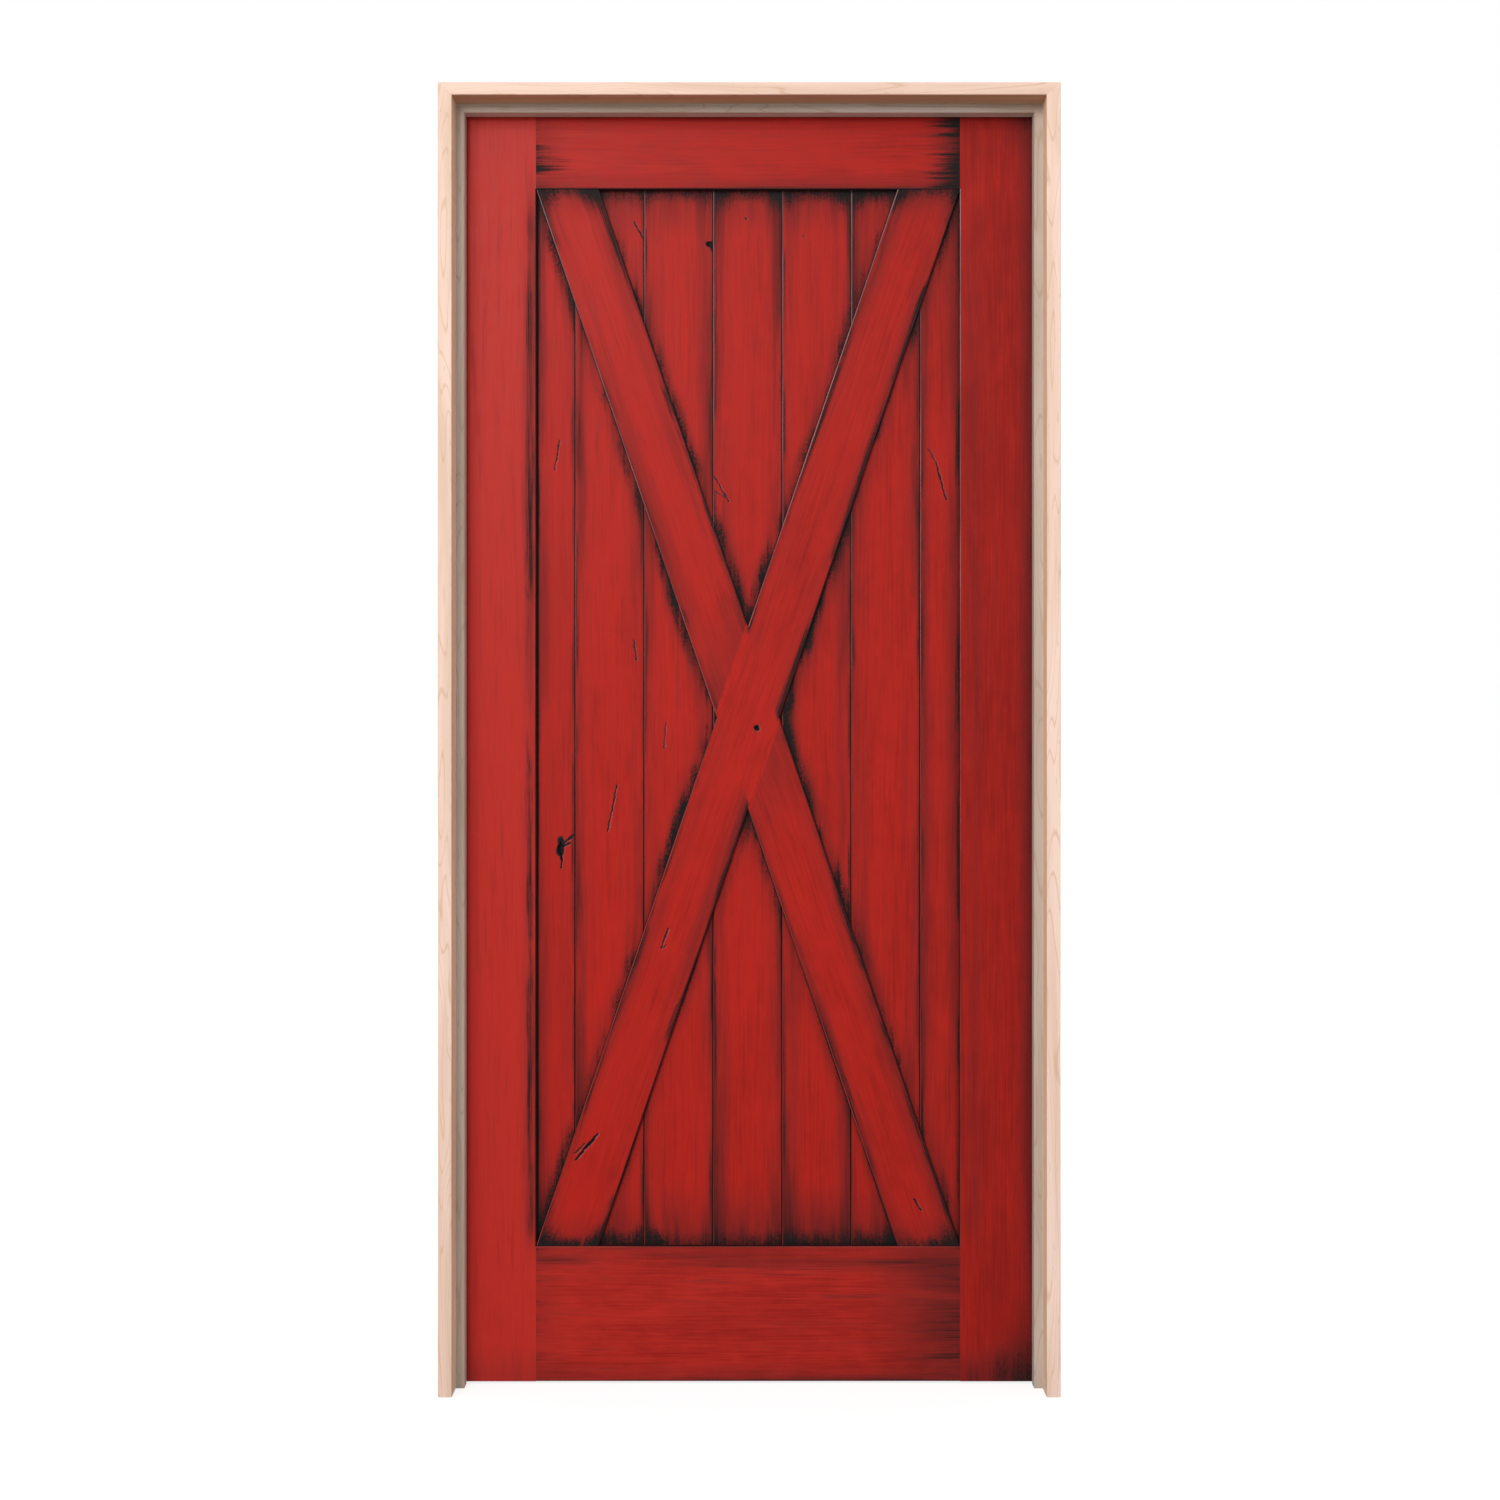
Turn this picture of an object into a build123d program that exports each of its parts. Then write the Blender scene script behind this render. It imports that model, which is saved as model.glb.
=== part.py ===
"""Barn-style door hung in its frame: a braced plank leaf on three butt hinges in a mitred wooden jamb.

Millimetres. X runs across the doorway, Y from the stop side to the hinge side, Z up from the floor.
The origin lies on the floor, in the middle of the width and of the whole depth with the hinge barrels.
"""

import os
from math import cos, pi, sin, sqrt

from build123d import *

# The doorway and its frame
OPENING_WIDTH = 920.0
FRAME_HEIGHT = 2033.0
JAMB_THICKNESS = 21.5
HEAD_THICKNESS = 19.5
JAMB_DEPTH = 116.0
JAMB_EASE = 1.0
STOP_PROJECTION = 13.5
STOP_WIDTH = 25.5
STOP_EASE = 1.5

# The leaf in the frame
SIDE_GAP = 3.0
HEAD_GAP = 3.0
FLOOR_GAP = 3.0
STOP_GAP = 1.0
LEAF_THICKNESS = 44.5
HINGE_STILE_WIDTH = 120.0
LOCK_STILE_WIDTH = 124.0
TOP_RAIL_WIDTH = 123.0
BOTTOM_RAIL_WIDTH = 213.0
LEAF_EASE = 1.5
LOCK_EDGE_BEVEL = 2.3

# Grooves, stubs and tenons between stiles, rails and planks
FRONT_RECESS = 12.0
PLANK_THICKNESS = 18.0
PLANK_FIT = 0.1
GROOVE_DEPTH = 12.0
PLANK_HOUSING = 10.5
STUB_LENGTH = 11.5
TENON_LENGTH = 78.0
TENON_SHOULDER = 26.0
TENON_END_ROOM = 1.0
TENON_SPLIT = 46.0

# Planks: the two outer ones show only a share of a full plank's width
FULL_PLANKS = 5
HINGE_SIDE_PLANK_SHARE = 0.556
LOCK_SIDE_PLANK_SHARE = 0.568
PLANK_EDGE_GAP = 0.8
PLANK_CHAMFER = 1.2
TONGUE_LENGTH = 6.0
TONGUE_THICKNESS = 5.0
TONGUE_ROOM = 0.5
TONGUE_FIT = 0.1

# Braces
BRACE_WIDTH = 93.0
BRACE_THICKNESS = 9.0
BRACE_CHAMFER = 1.6

# Butt hinges
HINGE_COUNT = 3
HINGE_HEIGHT = 101.6
HINGE_REACH = 50.8
HINGE_BACKSET = 6.3
HINGE_GAUGE = 2.8
HINGE_CORNER_RADIUS = 15.9
HINGE_FROM_TOP = 178.0
HINGE_FROM_BOTTOM = 279.0
MORTISE_FIT = 0.2
BARREL_RADIUS = 6.5
KNUCKLES = 5
KNUCKLE_GAP = 0.3
KNUCKLE_ROOM = 0.5
PIN_RADIUS = 3.5
PIN_FIT = 0.05
PIN_HEAD_RADIUS = 5.6
PIN_HEAD_HEIGHT = 2.6

# Screws: distance of each hinge screw from the pin, and from the middle of the hinge
OUTER_SCREW_FROM_PIN = 23.0
OUTER_SCREW_RISE = 38.0
INNER_SCREW_FROM_PIN = 40.0
INNER_SCREW_RISE = 14.0
SCREW_RADIUS = 2.1
SCREW_HEAD_RADIUS = 4.3
SCREW_HEAD_HEIGHT = 2.5
SCREW_TIP = 4.0
SCREW_TIP_RADIUS = 0.4
SCREW_SIDES = 8
SCREW_FIT = 0.1
SCREW_SLOT_WIDTH = 1.0
SCREW_SLOT_DEPTH = 1.0
JAMB_SCREW_LENGTH = 18.0
LEAF_SCREW_LENGTH = 32.0
CORNER_SCREW_LENGTH = 50.0
CORNER_SCREWS = 2
CORNER_SCREW_PITCH = 62.0

# Old marks in the wood of the leaf: their heights are shares of the height of the panel
WORM_HOLE_HEIGHT_SHARE = 0.4903
WORM_HOLE_FROM_MIDDLE = 19.0
WORM_HOLE_RADIUS = 3.6
WORM_HOLE_DEPTH = 6.0
KNOT_HOLE_HEIGHT_SHARE = 0.3763
KNOT_HOLE_FROM_EDGE = 23.0
KNOT_HOLE_DEPTH = 7.0
KNOT_HOLE_OUTLINE = (
    (-5.2, 3.0), (-2.0, 6.5), (-0.4, 12.5), (1.6, 6.0), (5.6, 4.2),
    (3.4, -1.0), (2.6, -8.0), (2.2, -25.0), (0.4, -12.0), (-3.6, -6.0),
)
NOTCH_HEIGHT_SHARE = 0.9483
NOTCH_FROM_EDGE = 6.3
NOTCH_DEPTH = 4.0
NOTCH_OUTLINE = ((0.0, 6.4), (4.0, 5.0), (4.0, -5.2), (-1.6, -3.6), (-4.6, -0.6), (-3.0, 3.6))
CRACK_HEIGHT_SHARE = 0.0939
CRACK_FROM_MIDDLE = -23.2
CRACK_DEPTH = 2.0
CRACK_OUTLINE = ((16.6, 19.5), (7.2, 6.6), (-4.8, -6.0), (-16.8, -19.4), (-6.2, -4.0), (5.6, 9.2))

# Planes that several pieces share
OPENING_HALF = OPENING_WIDTH / 2
FRAME_HALF = OPENING_HALF + JAMB_THICKNESS
HEAD_UNDERSIDE = FRAME_HEIGHT - HEAD_THICKNESS
PIN_THROW = HINGE_REACH + HINGE_BACKSET - LEAF_THICKNESS
JAMB_FRONT = -(JAMB_DEPTH + PIN_THROW + BARREL_RADIUS) / 2
JAMB_BACK = JAMB_FRONT + JAMB_DEPTH
LEAF_BACK = JAMB_BACK
LEAF_FRONT = LEAF_BACK - LEAF_THICKNESS
STOP_BACK = LEAF_FRONT - STOP_GAP
STOP_FRONT = STOP_BACK - STOP_WIDTH
LEAF_HALF = OPENING_HALF - SIDE_GAP
LEAF_BOTTOM = FLOOR_GAP
LEAF_TOP = HEAD_UNDERSIDE - HEAD_GAP
PANEL_LEFT = -LEAF_HALF + HINGE_STILE_WIDTH
PANEL_RIGHT = LEAF_HALF - LOCK_STILE_WIDTH
PANEL_WIDTH = PANEL_RIGHT - PANEL_LEFT
PANEL_CENTRE = (PANEL_LEFT + PANEL_RIGHT) / 2
PANEL_BOTTOM = LEAF_BOTTOM + BOTTOM_RAIL_WIDTH
PANEL_TOP = LEAF_TOP - TOP_RAIL_WIDTH
PANEL_HEIGHT = PANEL_TOP - PANEL_BOTTOM
PLANK_PITCH = PANEL_WIDTH / (FULL_PLANKS + HINGE_SIDE_PLANK_SHARE + LOCK_SIDE_PLANK_SHARE)
PLANK_FRONT = LEAF_FRONT + FRONT_RECESS
PLANK_BACK = PLANK_FRONT + PLANK_THICKNESS
PLANK_MIDDLE = (PLANK_FRONT + PLANK_BACK) / 2
BRACE_FRONT = PLANK_FRONT - BRACE_THICKNESS
PIN_X = -(OPENING_HALF + LEAF_HALF) / 2
PIN_Y = LEAF_BACK + PIN_THROW


def block(x_from, x_to, y_from, y_to, z_from, z_to):
    """A plain block between two corners."""
    middle = ((x_from + x_to) / 2, (y_from + y_to) / 2, (z_from + z_to) / 2)
    return Pos(*middle) * Box(x_to - x_from, y_to - y_from, z_to - z_from)


def prism_y(outline, y_from, y_to):
    """An outline drawn in X and Z, carried from one depth to another."""
    plane = Plane(origin=(0, y_to, 0), x_dir=(1, 0, 0), z_dir=(0, -1, 0))
    return extrude(plane * Polygon(*outline, align=None), amount=y_to - y_from, dir=(0, -1, 0))


def prism_z(outline, z_from, z_to):
    """An outline drawn in X and Y, carried from one height to another."""
    face = Plane.XY.offset(z_from) * Polygon(*outline, align=None)
    return extrude(face, amount=z_to - z_from, dir=(0, 0, 1))


def prism_x(outline, x_from, x_to):
    """An outline drawn in Y and Z, carried across the width."""
    face = Plane.YZ.offset(x_from) * Polygon(*outline, align=None)
    return extrude(face, amount=x_to - x_from, dir=(1, 0, 0))


def eased(u_from, u_to, v_from, v_to, low_low, high_low, high_high, low_high):
    """A rectangle with each corner planed off by its own amount, or left square at zero."""
    points = []
    corners = (
        (u_from, v_from, low_low, 1, 1, False),
        (u_to, v_from, high_low, -1, 1, True),
        (u_to, v_to, high_high, -1, -1, False),
        (u_from, v_to, low_high, 1, -1, True),
    )
    for u, v, cut, du, dv, along_u_first in corners:
        if not cut:
            points.append((u, v))
            continue
        near_u = (u + du * cut, v)
        near_v = (u, v + dv * cut)
        points += [near_u, near_v] if along_u_first else [near_v, near_u]
    return points


def rod_z(x, y, z_from, z_to, radius):
    """An upright round bar."""
    return extrude(Plane(origin=(x, y, z_from)) * Circle(radius), amount=z_to - z_from)


def turned_x(profile, x, y, z, way):
    """A many-sided bar that leaves x along the width, its radius given at each distance from x."""
    rings = []
    for distance, radius in profile:
        angles = [2 * pi * place / SCREW_SIDES for place in range(SCREW_SIDES)]
        rings.append([(x + way * distance, y + radius * cos(a), z + radius * sin(a)) for a in angles])
    outlines = [rings[0], rings[-1]]
    for near, far in zip(rings, rings[1:]):
        for place in range(SCREW_SIDES):
            outlines.append([near[place], near[place - 1], far[place - 1], far[place]])
    return Solid(Shell([Face(Wire.make_polygon(outline)) for outline in outlines]))


def group(solids):
    """Several loose solids that are kept together under one name."""
    return Compound(children=list(solids))


# Screws


def screw_profile(length, room):
    """Distance and radius down a flat-head screw, or down the seat that leaves it some room."""
    return (
        (0, SCREW_HEAD_RADIUS + room),
        (SCREW_HEAD_HEIGHT, SCREW_RADIUS + room),
        (length - SCREW_TIP, SCREW_RADIUS + room),
        (length + room, SCREW_TIP_RADIUS + room),
    )


def screw(x, y, z, way, length):
    """A flat-head slotted wood screw, its head flush at x."""
    body = turned_x(screw_profile(length, 0), x, y, z, way)
    half_width = SCREW_SLOT_WIDTH / 2
    x_in = x + way * SCREW_SLOT_DEPTH
    low, high = min(x, x_in), max(x, x_in)
    reach = SCREW_HEAD_RADIUS
    return body - block(low, high, y - reach, y + reach, z - half_width, z + half_width)


def screw_seat(x, y, z, way, length):
    """The countersunk hole that a screw sits in."""
    return turned_x(screw_profile(length, SCREW_FIT), x, y, z, way)


def hinge_heights():
    """The middle of each hinge, from the lowest up."""
    lowest = LEAF_BOTTOM + HINGE_FROM_BOTTOM + HINGE_HEIGHT / 2
    highest = LEAF_TOP - HINGE_FROM_TOP - HINGE_HEIGHT / 2
    step = (highest - lowest) / (HINGE_COUNT - 1)
    return [lowest + step * place for place in range(HINGE_COUNT)]


def hinge_screw_spots(middle):
    """Depth and height of the four screws in one hinge leaf."""
    return [
        (PIN_Y - OUTER_SCREW_FROM_PIN, middle + OUTER_SCREW_RISE),
        (PIN_Y - INNER_SCREW_FROM_PIN, middle + INNER_SCREW_RISE),
        (PIN_Y - INNER_SCREW_FROM_PIN, middle - INNER_SCREW_RISE),
        (PIN_Y - OUTER_SCREW_FROM_PIN, middle - OUTER_SCREW_RISE),
    ]


def corner_screw_spots():
    """Depths of the screws that pull each corner of the frame together."""
    middle = (JAMB_FRONT + JAMB_BACK) / 2
    first = middle - CORNER_SCREW_PITCH * (CORNER_SCREWS - 1) / 2
    return [first + CORNER_SCREW_PITCH * place for place in range(CORNER_SCREWS)]


# Hinges


def leaf_plate(x_from, x_to, middle, room):
    """The flat plate of a hinge leaf from its rounded inner end to the line of the pin."""
    half = HINGE_HEIGHT / 2 + room
    plate = block(x_from, x_to, PIN_Y - HINGE_REACH - room, PIN_Y, middle - half, middle + half)
    inner_corners = plate.edges().filter_by(Axis.X).group_by(Axis.Y)[0]
    return fillet(inner_corners, HINGE_CORNER_RADIUS + room)


def knuckle_span(place, middle):
    """The lower and upper end of one knuckle, with half a gap towards each neighbour."""
    length = HINGE_HEIGHT / KNUCKLES
    low = middle - HINGE_HEIGHT / 2 + length * place
    high = low + length
    if place > 0:
        low += KNUCKLE_GAP / 2
    if place < KNUCKLES - 1:
        high -= KNUCKLE_GAP / 2
    return low, high


def hinge_leaf(x_from, x_to, middle, first_knuckle, face, way):
    """One leaf: plate, every second knuckle, room for the knuckles of the other leaf, screw holes."""
    leaf = leaf_plate(x_from, x_to, middle, 0)
    for place in range(KNUCKLES):
        low, high = knuckle_span(place, middle)
        if place % 2 == first_knuckle:
            leaf += rod_z(PIN_X, PIN_Y, low, high, BARREL_RADIUS)
        else:
            edge = PIN_Y - BARREL_RADIUS - KNUCKLE_ROOM
            leaf -= block(x_from, x_to, edge, PIN_Y, low - KNUCKLE_GAP, high + KNUCKLE_GAP)
    bore = PIN_RADIUS + PIN_FIT
    leaf -= rod_z(PIN_X, PIN_Y, middle - HINGE_HEIGHT, middle + HINGE_HEIGHT, bore)
    for y, z in hinge_screw_spots(middle):
        leaf -= screw_seat(face, y, z, way, JAMB_SCREW_LENGTH)
    return leaf


def hinge_pin(middle):
    """The loose pin with a button head that rests on the top knuckle."""
    bottom = middle - HINGE_HEIGHT / 2
    top = middle + HINGE_HEIGHT / 2
    shank = rod_z(PIN_X, PIN_Y, bottom, top, PIN_RADIUS)
    return shank + rod_z(PIN_X, PIN_Y, top, top + PIN_HEAD_HEIGHT, PIN_HEAD_RADIUS)


# Frame


def jamb_leg(side):
    """One leg of the frame, mitred at the head. side is -1 on the hinge side and 1 on the other."""
    inner, outer = side * OPENING_HALF, side * FRAME_HALF
    ease = (JAMB_EASE, JAMB_EASE, JAMB_EASE, JAMB_EASE)
    outline = eased(min(inner, outer), max(inner, outer), JAMB_FRONT, JAMB_BACK, *ease)
    leg = prism_z(outline, 0, FRAME_HEIGHT)
    mitre = ((inner, HEAD_UNDERSIDE), (outer, FRAME_HEIGHT), (inner, FRAME_HEIGHT))
    leg -= prism_y(mitre, JAMB_FRONT, JAMB_BACK)
    for y in corner_screw_spots():
        height = FRAME_HEIGHT - HEAD_THICKNESS / 2
        leg -= screw_seat(outer, y, height, -side, CORNER_SCREW_LENGTH)
    return leg


def head_jamb():
    """The head of the frame, mitred to both legs."""
    ease = (JAMB_EASE, JAMB_EASE, JAMB_EASE, JAMB_EASE)
    outline = eased(JAMB_FRONT, JAMB_BACK, HEAD_UNDERSIDE, FRAME_HEIGHT, *ease)
    head = prism_x(outline, -FRAME_HALF, FRAME_HALF)
    for side in (-1, 1):
        inner, outer = side * OPENING_HALF, side * FRAME_HALF
        mitre = ((inner, HEAD_UNDERSIDE), (outer, FRAME_HEIGHT), (outer, HEAD_UNDERSIDE))
        head -= prism_y(mitre, JAMB_FRONT, JAMB_BACK)
        for y in corner_screw_spots():
            height = FRAME_HEIGHT - HEAD_THICKNESS / 2
            head -= screw_seat(outer, y, height, -side, CORNER_SCREW_LENGTH)
    return head


def side_stop(side):
    """The stop strip on one leg, mitred under the head."""
    outer, inner = side * OPENING_HALF, side * (OPENING_HALF - STOP_PROJECTION)
    if side < 0:
        cuts = (0, STOP_EASE, STOP_EASE, 0)
    else:
        cuts = (STOP_EASE, 0, 0, STOP_EASE)
    outline = eased(min(outer, inner), max(outer, inner), STOP_FRONT, STOP_BACK, *cuts)
    stop = prism_z(outline, 0, HEAD_UNDERSIDE)
    low = HEAD_UNDERSIDE - STOP_PROJECTION
    mitre = ((inner, low), (outer, HEAD_UNDERSIDE), (inner, HEAD_UNDERSIDE))
    return stop - prism_y(mitre, STOP_FRONT, STOP_BACK)


def head_stop():
    """The stop strip under the head, mitred to both side strips."""
    low = HEAD_UNDERSIDE - STOP_PROJECTION
    outline = eased(STOP_FRONT, STOP_BACK, low, HEAD_UNDERSIDE, STOP_EASE, STOP_EASE, 0, 0)
    stop = prism_x(outline, -OPENING_HALF, OPENING_HALF)
    for side in (-1, 1):
        outer, inner = side * OPENING_HALF, side * (OPENING_HALF - STOP_PROJECTION)
        mitre = ((inner, low), (outer, HEAD_UNDERSIDE), (outer, low))
        stop -= prism_y(mitre, STOP_FRONT, STOP_BACK)
    return stop


# Leaf frame


def tenon_spans():
    """Lower and upper end of each tenon: one on the top rail, two on the deeper bottom rail."""
    top = [(PANEL_TOP + GROOVE_DEPTH, LEAF_TOP - TENON_SHOULDER)]
    low, high = LEAF_BOTTOM + TENON_SHOULDER, PANEL_BOTTOM - GROOVE_DEPTH
    middle = (low + high) / 2
    half_split = TENON_SPLIT / 2
    bottom = [(low, middle - half_split), (middle + half_split, high)]
    return top, bottom


def stile(side):
    """One stile, grooved on its inner edge and mortised for the tenons of the rails.

    Its inner edge is eased only along the planks, so that it meets the rails flush.
    """
    inner, outer = PANEL_LEFT if side < 0 else PANEL_RIGHT, side * LEAF_HALF
    cuts = (LEAF_EASE, 0, 0, LEAF_EASE) if side < 0 else (0, LEAF_EASE, LEAF_EASE, 0)
    outline = eased(min(inner, outer), max(inner, outer), LEAF_FRONT, LEAF_BACK, *cuts)
    post = prism_z(outline, LEAF_BOTTOM, LEAF_TOP)
    for face, inward in ((LEAF_FRONT, 1), (LEAF_BACK, -1)):
        sliver = ((inner, face), (inner + side * LEAF_EASE, face), (inner, face + inward * LEAF_EASE))
        post -= prism_z(sliver, PANEL_BOTTOM, PANEL_TOP)
    front, back = PLANK_FRONT - PLANK_FIT, PLANK_BACK + PLANK_FIT
    groove_bed = inner + side * GROOVE_DEPTH
    mortise_bed = inner + side * (TENON_LENGTH + TENON_END_ROOM)
    post -= block(min(inner, groove_bed), max(inner, groove_bed), front, back, LEAF_BOTTOM, LEAF_TOP)
    top, bottom = tenon_spans()
    for low, high in top + bottom:
        post -= block(
            min(inner, mortise_bed), max(inner, mortise_bed), front, back, low - PLANK_FIT, high + PLANK_FIT
        )
    return post


def bevelled_stile():
    """The stile on the lock side, its edge planed back towards the stops so that it clears the leg."""
    post = stile(1)
    wedge = (
        (LEAF_HALF - LOCK_EDGE_BEVEL, LEAF_FRONT),
        (LEAF_HALF, LEAF_FRONT),
        (LEAF_HALF, LEAF_BACK - LEAF_EASE),
    )
    return post - prism_z(wedge, LEAF_BOTTOM, LEAF_TOP)


def rail(low, high, groove_at_top, tenons):
    """One rail with a grooved edge, stubs that fill the grooves of the stiles, and tenons beyond them."""
    ease = (LEAF_EASE, LEAF_EASE, LEAF_EASE, LEAF_EASE)
    bar = prism_x(eased(LEAF_FRONT, LEAF_BACK, low, high, *ease), PANEL_LEFT, PANEL_RIGHT)
    front, back = PLANK_FRONT - PLANK_FIT, PLANK_BACK + PLANK_FIT
    stub_left, stub_right = PANEL_LEFT - STUB_LENGTH, PANEL_RIGHT + STUB_LENGTH
    tenon_left, tenon_right = PANEL_LEFT - TENON_LENGTH, PANEL_RIGHT + TENON_LENGTH
    if groove_at_top:
        stub_low, stub_high = low, high - GROOVE_DEPTH
        groove_low, groove_high = high - GROOVE_DEPTH, high
    else:
        stub_low, stub_high = low + GROOVE_DEPTH, high
        groove_low, groove_high = low, low + GROOVE_DEPTH
    bar += block(stub_left, stub_right, PLANK_FRONT, PLANK_BACK, stub_low, stub_high)
    for tenon_low, tenon_high in tenons:
        bar += block(tenon_left, tenon_right, PLANK_FRONT, PLANK_BACK, tenon_low, tenon_high)
    return bar - block(PANEL_LEFT, PANEL_RIGHT, front, back, groove_low, groove_high)


# Planks


def plank_edges():
    """The lines between planks, from the hinge side across."""
    first = PANEL_LEFT + PLANK_PITCH * HINGE_SIDE_PLANK_SHARE
    return [first + PLANK_PITCH * place for place in range(FULL_PLANKS + 1)]


def plank_outline(left, right, grooved, tongued):
    """The section of one plank: a groove on its left edge, a tongue on its right edge, both edges chamfered.

    An edge without groove or tongue is square and housed in the stile.
    """
    half_groove = TONGUE_THICKNESS / 2 + TONGUE_FIT
    half_tongue = TONGUE_THICKNESS / 2
    points = []
    if grooved:
        bed = left + TONGUE_LENGTH + TONGUE_ROOM
        points += [
            (left + PLANK_CHAMFER, PLANK_BACK),
            (left, PLANK_BACK - PLANK_CHAMFER),
            (left, PLANK_MIDDLE + half_groove),
            (bed, PLANK_MIDDLE + half_groove),
            (bed, PLANK_MIDDLE - half_groove),
            (left, PLANK_MIDDLE - half_groove),
            (left, PLANK_FRONT + PLANK_CHAMFER),
            (left + PLANK_CHAMFER, PLANK_FRONT),
        ]
    else:
        points += [(left, PLANK_BACK), (left, PLANK_FRONT)]
    if tongued:
        tip = right + PLANK_EDGE_GAP + TONGUE_LENGTH
        points += [
            (right - PLANK_CHAMFER, PLANK_FRONT),
            (right, PLANK_FRONT + PLANK_CHAMFER),
            (right, PLANK_MIDDLE - half_tongue),
            (tip, PLANK_MIDDLE - half_tongue),
            (tip, PLANK_MIDDLE + half_tongue),
            (right, PLANK_MIDDLE + half_tongue),
            (right, PLANK_BACK - PLANK_CHAMFER),
            (right - PLANK_CHAMFER, PLANK_BACK),
        ]
    else:
        points += [(right, PLANK_FRONT), (right, PLANK_BACK)]
    return points


def planks():
    """All planks from the hinge side across, housed in the grooves of stiles and rails."""
    lines = plank_edges()
    half_gap = PLANK_EDGE_GAP / 2
    housed_left, housed_right = PANEL_LEFT - PLANK_HOUSING, PANEL_RIGHT + PLANK_HOUSING
    low, high = PANEL_BOTTOM - PLANK_HOUSING, PANEL_TOP + PLANK_HOUSING
    boards = [prism_z(plank_outline(housed_left, lines[0] - half_gap, False, True), low, high)]
    for left, right in zip(lines, lines[1:]):
        boards.append(prism_z(plank_outline(left + half_gap, right - half_gap, True, True), low, high))
    boards.append(prism_z(plank_outline(lines[-1] + half_gap, housed_right, True, False), low, high))
    return boards


# Old marks


def pocket(outline, spot, front, depth):
    """A hollow of a given outline about a spot, sunk from a front face."""
    return prism_y([(spot[0] + u, spot[1] + v) for u, v in outline], front, front + depth)


def plank_spot(line, from_edge, height_share):
    """A place to the left of one of the lines between planks."""
    return plank_edges()[line] - from_edge, PANEL_BOTTOM + PANEL_HEIGHT * height_share


def brace_spot(from_middle, height_share):
    """A place on the through brace, beside its middle line."""
    run = PANEL_WIDTH - brace_foot()
    line = PANEL_CENTRE - run / 2 + run * height_share
    return line + from_middle, PANEL_BOTTOM + PANEL_HEIGHT * height_share


# Braces


def brace_foot():
    """The width of a brace along the rail, such that it is BRACE_WIDTH wide and ends in both corners."""
    slant = (BRACE_WIDTH / PANEL_HEIGHT) ** 2
    a = 1 - slant
    b = 2 * slant * PANEL_WIDTH
    c = -(BRACE_WIDTH**2) * (1 + (PANEL_WIDTH / PANEL_HEIGHT) ** 2)
    return (-b + sqrt(b * b - 4 * a * c)) / (2 * a)


def arris(start, end, inside):
    """The sliver planed off a front edge between two points of it. inside is any point of the board."""
    along = Vector(end[0] - start[0], 0, end[1] - start[1])
    inward = Vector(0, 1, 0).cross(along).normalized()
    if inward.dot(Vector(inside[0] - start[0], 0, inside[1] - start[1])) < 0:
        inward = -inward
    plane = Plane(origin=(start[0], BRACE_FRONT, start[1]), x_dir=inward, z_dir=along)
    way = 1 if plane.y_dir.Y > 0 else -1
    section = plane * Polygon((0, 0), (BRACE_CHAMFER, 0), (0, way * BRACE_CHAMFER), align=None)
    return extrude(section, amount=along.length, dir=along.normalized())


def brace(outline, free_edges):
    """A brace board with its front arrises planed where its edges lie free on the planks."""
    board = prism_y(outline, BRACE_FRONT, PLANK_FRONT)
    inside = (sum(u for u, v in outline) / len(outline), sum(v for u, v in outline) / len(outline))
    for start, end in free_edges:
        board -= arris(start, end, inside)
    return board


def braces():
    """The through brace and the two half braces that butt against its sides."""
    foot = brace_foot()
    run = PANEL_WIDTH - foot
    middle = (PANEL_TOP + PANEL_BOTTOM) / 2
    rise = PANEL_HEIGHT * foot / (2 * run)
    low_left = (PANEL_LEFT, PANEL_BOTTOM)
    low_right = (PANEL_LEFT + foot, PANEL_BOTTOM)
    high_right = (PANEL_RIGHT, PANEL_TOP)
    high_left = (PANEL_RIGHT - foot, PANEL_TOP)
    left, right = (PANEL_CENTRE - foot / 2, middle), (PANEL_CENTRE + foot / 2, middle)
    top, bottom = (PANEL_CENTRE, middle + rise), (PANEL_CENTRE, middle - rise)
    through = brace(
        [low_left, low_right, high_right, high_left],
        [(low_left, left), (top, high_left), (low_right, bottom), (right, high_right)],
    )
    upper_points = [(PANEL_LEFT, PANEL_TOP), left, top, (PANEL_LEFT + foot, PANEL_TOP)]
    upper = brace(upper_points, [upper_points[0:2], upper_points[2:4]])
    lower_points = [(PANEL_RIGHT, PANEL_BOTTOM), right, bottom, (PANEL_RIGHT - foot, PANEL_BOTTOM)]
    lower = brace(lower_points, [lower_points[0:2], lower_points[2:4]])
    return through, upper, lower


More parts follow.
